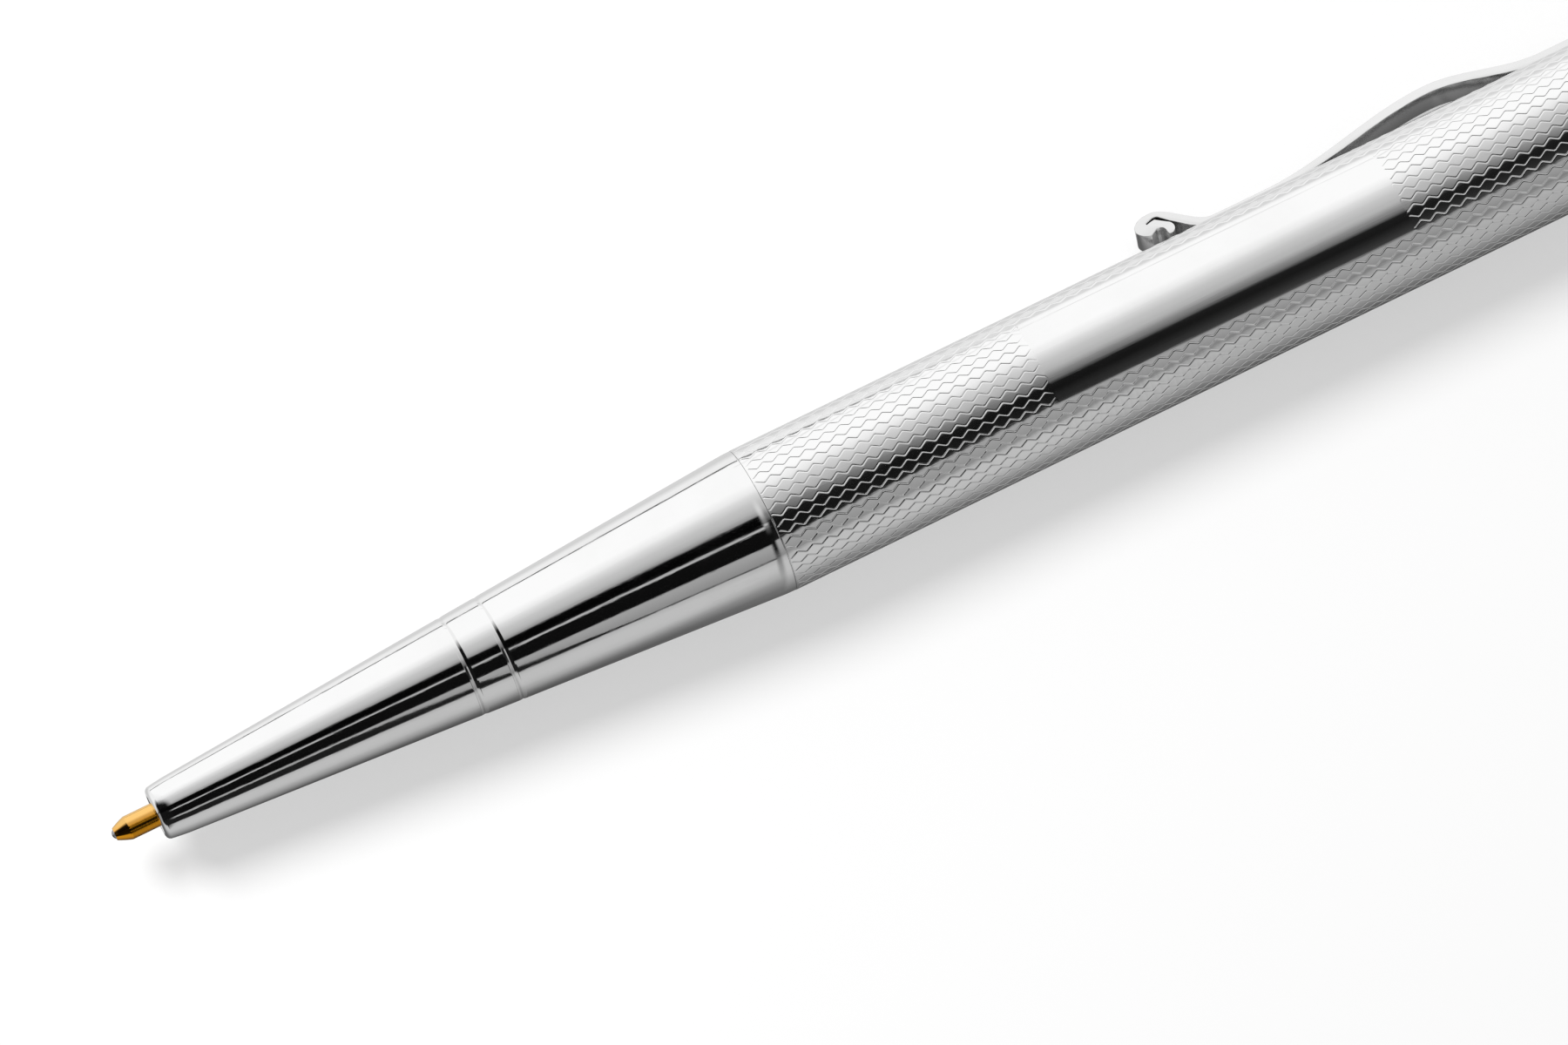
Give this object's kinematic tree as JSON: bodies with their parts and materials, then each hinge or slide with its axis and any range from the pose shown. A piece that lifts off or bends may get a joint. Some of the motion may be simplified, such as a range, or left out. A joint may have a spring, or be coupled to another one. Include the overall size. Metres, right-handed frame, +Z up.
{
  "type": "ballpoint pen",
  "caption": "Slim twist-action metal ballpoint pen with a tapered nose, engraved parallel barrel, wave strip clip with a folded end and a domed crown; turning the nose draws the refill in.",
  "frame": {"origin": "centre of the crown's flat end face", "axes": "+X along the pen from its writing end to its crown; +Z up as the pen lies on the lowest line of its barrel and on one corner of the clip's folded end"},
  "size_m": [0.1397, 0.0133, 0.011],
  "materials": {
    "silver": "polished silver",
    "brass": "turned",
    "steel": "turned",
    "nickel_plate": "satin plate",
    "carbide": "ground",
    "nylon": "moulded",
    "rubber": "moulded"
  },
  "bodies": {
    "barrel": {"barrel_shell": "silver", "barrel_core": "brass", "front_bush": "brass", "seam_washer": "nylon", "cam_tube": "steel", "rear_plug": "brass", "crown_screw": "steel", "clip_ring": "silver", "crown_cap": "silver"},
    "clip": {"pocket_clip": "silver"},
    "nose": {"nose_shell": "silver", "nose_insert": "brass", "drive_sleeve": "brass", "friction_ring": "rubber", "retaining_ring": "steel", "return_spring": "steel"},
    "refill": {"refill_tip": "brass", "refill_tube": "nickel_plate", "refill_plug": "nylon", "plunger": "brass", "cross_pin": "steel"},
    "ball": {"writing_ball": "carbide"}
  },
  "joints": [
    {"name": "clip_flex", "type": "hinge", "parent": "barrel", "child": "clip", "pos_m": [-0.0041, 0.00497, -0.00317], "axis": [0, -0.5377, -0.8431], "range_deg": [0, 3], "stiffness_Nm_per_rad": 0.1},
    {"name": "nose_twist", "type": "hinge", "parent": "barrel", "child": "nose", "pos_m": [-0.0885, 0, 0], "axis": [1, 0, 0], "range_deg": [0, 180]},
    {"name": "refill_slide", "type": "slide", "parent": "nose", "child": "refill", "axis": [1, 0, 0], "range_m": [0, 0.005], "deforming": ["return_spring"]},
    {"name": "ball_roll", "type": "hinge", "parent": "refill", "child": "ball", "pos_m": [-0.13926, 0, 0], "axis": [0, 1, 0], "continuous": true}
  ],
  "couplings": [
    {"joint": "nose_twist", "follows": "refill_slide", "rad_per_m": 628.32}
  ]
}
